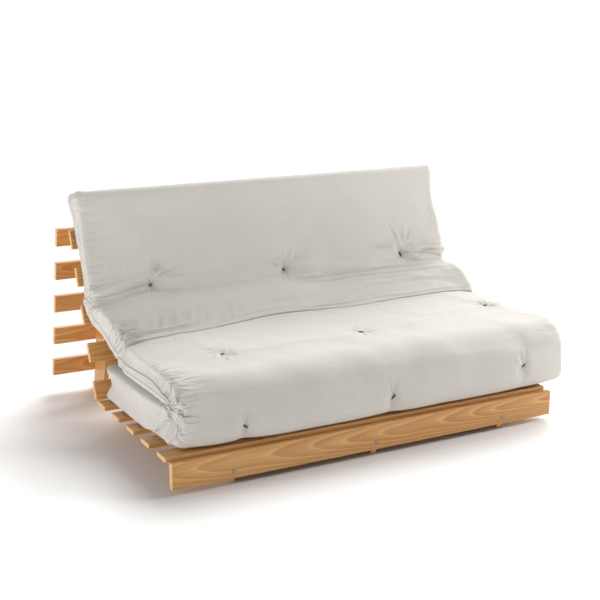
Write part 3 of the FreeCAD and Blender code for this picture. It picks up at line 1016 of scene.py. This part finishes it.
def build_futon():
    cube, faces, sides, index, counts, grid = lattice()
    start = shape(cube)
    mesh = bpy.data.meshes.new("futon")
    mesh.from_pydata([tuple(c) for c in start], [], faces)
    mesh.update()
    u, v, t = cube.T
    x = u + middle(t)
    layer = mesh.uv_layers.new(name="cloth")
    corners = np.empty(len(mesh.loops), int)
    mesh.loops.foreach_get("vertex_index", corners)
    side_of = np.repeat(np.array(sides), 4)
    flat = np.stack([u, t], 1)[corners]
    # The sides and the ends have places of their own in the map.
    flat[side_of == 1] = np.stack([v + 2000, t], 1)[corners][side_of == 1]
    flat[side_of == 2] = np.stack([u, v + 4000], 1)[corners][side_of == 2]
    layer.uv.foreach_set("vector", (flat * MM).astype(np.float32).ravel())
    far = 1000.0
    to_side = HALF_WIDTH - np.abs(u)
    folded = folded_runs(t, 170, ((0.9, RUN_CREASE_2, 75), (0.8, RUN_CREASE_1 - 25, 50)))
    gathered = gauss(to_side, 75) * (0.22 + np.clip(folded, 0, 1)) * np.where(u < 0, 1.0, 0.35)
    # The distances to the creases and to the outer seam go into UV maps, for the groove bumps and their painted
    # shade.
    creases = np.stack([t - upper_crease(x), t - lower_crease(x)], 1)[corners]
    creases[(side_of != 0) | (v[corners] < 0)] = far
    edges = np.stack([gathered / MM, np.full_like(t, far)], 1)[corners]
    seam = (v - outer_seam(t)) * (1 - hollow(start / MM, u))
    edges[side_of == 1, 1] = seam[corners][side_of == 1]
    for name, values in (("creases", creases), ("edges", edges)):
        layer = mesh.uv_layers.new(name=name)
        layer.uv.foreach_set("vector", (values * MM).astype(np.float32).ravel())
    for name, values in zip(COORDINATES, (u, v, t)):
        attribute = mesh.attributes.new(name, "FLOAT", "POINT")
        attribute.data.foreach_set("value", values.astype(np.float32))

    pins = np.zeros(len(cube))
    allowed = np.full(len(cube), 26.0)
    outer = v > 50
    for tuft_x, tuft_t in TUFTS:
        away = np.hypot(x - tuft_x, t - tuft_t)
        held = allowed * (1 - 0.97 * gauss(away, 22))
        allowed = np.where(outer | (t < RUN_CREASE_2), held, allowed)
        pins[(away < 13) & (np.abs(v) > 50)] = 1.0
    crease = np.maximum(gauss(t - upper_crease(x), 14), gauss(t - lower_crease(x), 14)) * outer
    allowed *= 1 - 0.75 * crease
    allowed *= 1 - 0.9 * gauss(t, 90)
    pins = np.maximum(pins, 0.35 * crease)
    pins = np.where((v < -50) & (t > RUN_CREASE_2) & (t < LENGTH - 60), 1.0, pins)
    border = gauss(HALF_WIDTH - np.abs(u), 60)
    growth = 0.28 + 0.5 * gauss(t - upper_crease(x), 60)
    growth = growth + 0.4 * gauss(t - lower_crease(x), 60) + 0.5 * border
    co = settle(mesh, start, allowed, np.clip(growth, 0, 1), pins)
    lying = (step(t, RUN_UNDER - 120, RUN_UNDER - 20) * (v > 20))[:, None]
    start = co * (1 - lying) + start * lying
    mesh.vertices.foreach_set("co", rest_clear(start).ravel())
    mesh.update()

    futon = add_object("futon", mesh)
    futon.modifiers.new("smooth", "SUBSURF").levels = 1
    graph = bpy.context.evaluated_depsgraph_get()
    final = bpy.data.meshes.new_from_object(futon.evaluated_get(graph))
    futon.modifiers.clear()
    futon.data = final
    crumple(final)
    final.polygons.foreach_set("use_smooth", np.ones(len(final.polygons), bool))
    final.materials.clear()
    final.materials.append(cotton())
    return futon, index, counts, grid


futon, index, counts, grid = build_futon()


# ---------------------------------------------------------------- tufts and piping

def surface_at(tree, x, t, outer=1):
    """The place on the pad's outer face, or its inner one with -1, and the way out of it."""
    place = np.array([np.interp(t, RUN, LINE[:, k]) for k in (0, 1)])
    normal = np.array([np.interp(t, RUN, OUTWARD[:, k]) for k in (0, 1)]) * outer
    normal /= np.linalg.norm(normal)
    start = Vector((x, *(place + normal * 150))) * MM
    way = Vector((0, *(-normal)))
    return tree.ray_cast(start, way)[0], -way


def ring(place, side, other, radius, sides):
    angles = [2 * math.pi * k / sides for k in range(sides)]
    return [place + (side * math.cos(a) + other * math.sin(a)) * radius for a in angles]


def cord_mesh(name, verts, faces):
    mesh = bpy.data.meshes.new(name)
    mesh.from_pydata([tuple(v) for v in verts], [], faces)
    mesh.polygons.foreach_set("use_smooth", np.ones(len(faces), bool))
    return mesh


def tube(name, points, radius, sides=8):
    """A round cord mesh along a path, with closed, narrowed ends."""
    verts, faces = [], []
    n = len(points)
    for i, p in enumerate(points):
        ahead = (points[min(i + 1, n - 1)] - points[max(i - 1, 0)]).normalized()
        side = ahead.orthogonal().normalized()
        other = ahead.cross(side)
        taper = 1.0 if 0 < i < n - 1 else 0.55
        verts += ring(p, side, other, radius * taper, sides)
    for i in range(n - 1):
        for k in range(sides):
            a, b = i * sides + k, i * sides + (k + 1) % sides
            faces.append((a, b, b + sides, a + sides))
    faces.append(tuple(range(sides))[::-1])
    faces.append(tuple((n - 1) * sides + k for k in range(sides)))
    return cord_mesh(name, verts, faces)


TUFT_ANGLES = (20, 0, -65, 28, -50, 10, -40, 55, 20)    # of the stitches, in degrees
TUFT_HALF = 0.012
TWINE_RADIUS = 0.0015
TWINE_GAP = 0.0013
PIPING_RADIUS = 0.0029
PIPING_LIFT = 0.0008


def add_tufts(futon):
    """Each tuft is a stitch of two strands. Those that go through the back part show behind too."""
    graph = bpy.context.evaluated_depsgraph_get()
    tree = BVHTree.FromObject(futon, graph)
    twine = thread_material()
    made = []
    for number, ((x, t), angle) in enumerate(zip(TUFTS, TUFT_ANGLES)):
        where = [("front", 1)] + ([("rear", -1)] if t < RUN_CREASE_2 else [])
        for label, outer in where:
            hit, up = surface_at(tree, x, t, outer)
            way = Matrix.Rotation(math.radians(angle), 3, up) @ Vector((1, 0, 0))
            path = [hit + way * TUFT_HALF * s + up * (0.0022 - 0.006 * s ** 4)
                    for s in np.linspace(-1, 1, 13)]
            for strand, shift in enumerate((-TWINE_GAP, TWINE_GAP)):
                aside = up.cross(way) * shift
                name = f"tuft_{number}_{label}_{strand}"
                mesh = tube(name, [p + aside for p in path], TWINE_RADIUS)
                mesh.materials.append(twine)
                made.append((add_object(name, mesh), t))
    return made


def piping_material():
    """The same cotton, cut on the cross and rolled round a cord."""
    material, tree, shader = new_material("cotton_piping")
    place = tree.nodes.new("ShaderNodeTexCoord").outputs["Object"]
    threads = noise(tree, place, 700.0, 3.0, 0.6)
    cloudy = noise(tree, place, 12.0, 2.0)
    base = mix(tree, cloudy, (0.78, 0.755, 0.70), (0.71, 0.68, 0.62))
    base = mix(tree, spread(tree, threads, 0.45, 0.75, 0.0, 0.35), base, (0.60, 0.56, 0.49))
    tree.links.new(base, shader.inputs["Base Color"])
    shader.inputs["Roughness"].default_value = 0.88
    shader.inputs["Specular IOR Level"].default_value = 0.25
    tree.links.new(bump(tree, threads, 0.5, 0.0006), shader.inputs["Normal"])
    return material


def seam_path(futon, seam):
    """Places round the pad's edge where a seam lies, between the lattice's own points."""
    mesh = futon.data
    nu, nv, nt = counts
    us, vs, ts = grid

    def place(i, k, height):
        j = min(int((height + HALF_THICK) / (vs[1] - vs[0])), nv - 1)
        part = (height - vs[j]) / (vs[1] - vs[0])
        low, high = mesh.vertices[index[(i, j, k)]], mesh.vertices[index[(i, j + 1, k)]]
        facing = low.normal.lerp(high.normal, part).normalized()
        return low.co.lerp(high.co, part) + facing * PIPING_LIFT

    heights = seam(ts)
    path = [place(0, k, heights[k]) for k in range(nt + 1)]
    path += [place(i, nt, heights[nt]) for i in range(1, nu)]
    path += [place(nu, k, heights[k]) for k in range(nt, -1, -1)]
    path += [place(i, 0, heights[0]) for i in range(nu - 1, 0, -1)]
    return path


def closed_tube(name, path, radius, sides=7):
    """A cord that runs right round and meets itself."""
    verts, faces = [], []
    n = len(path)
    for i, p in enumerate(path):
        ahead = (path[(i + 1) % n] - path[i - 1]).normalized()
        side = ahead.cross(Vector((0.3, 0.5, 0.81)).normalized())
        if side.length < 0.2:
            side = ahead.cross(Vector((0, 1, 0)))
        side.normalize()
        verts += ring(p, side, ahead.cross(side), radius, sides)
    for i in range(n):
        for k in range(sides):
            a, b = i * sides + k, i * sides + (k + 1) % sides
            c, d = ((i + 1) % n) * sides + (k + 1) % sides, ((i + 1) % n) * sides + k
            faces.append((a, b, c, d))
    return cord_mesh(name, verts, faces)


def add_piping(futon):
    material = piping_material()
    made = []
    for label, seam in (("outer", outer_seam), ("inner", inner_seam)):
        mesh = closed_tube("piping_" + label, seam_path(futon, seam), PIPING_RADIUS)
        mesh.materials.append(material)
        made.append(add_object("piping_" + label, mesh))
    return made


piping = add_piping(futon)
tufts = add_tufts(futon)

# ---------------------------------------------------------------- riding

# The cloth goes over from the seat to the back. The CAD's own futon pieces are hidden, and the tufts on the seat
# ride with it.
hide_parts("futon_front_fold", "futon_lower_layer", "futon_upper_layer",
            "futon_lumbar_roll", "futon_back_layer")
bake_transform(futon)
for piece in piping:
    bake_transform(piece)
for piece, t in tufts:
    if t < RUN_CREASE_2:
        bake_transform(piece)
    else:
        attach(piece, "seat")
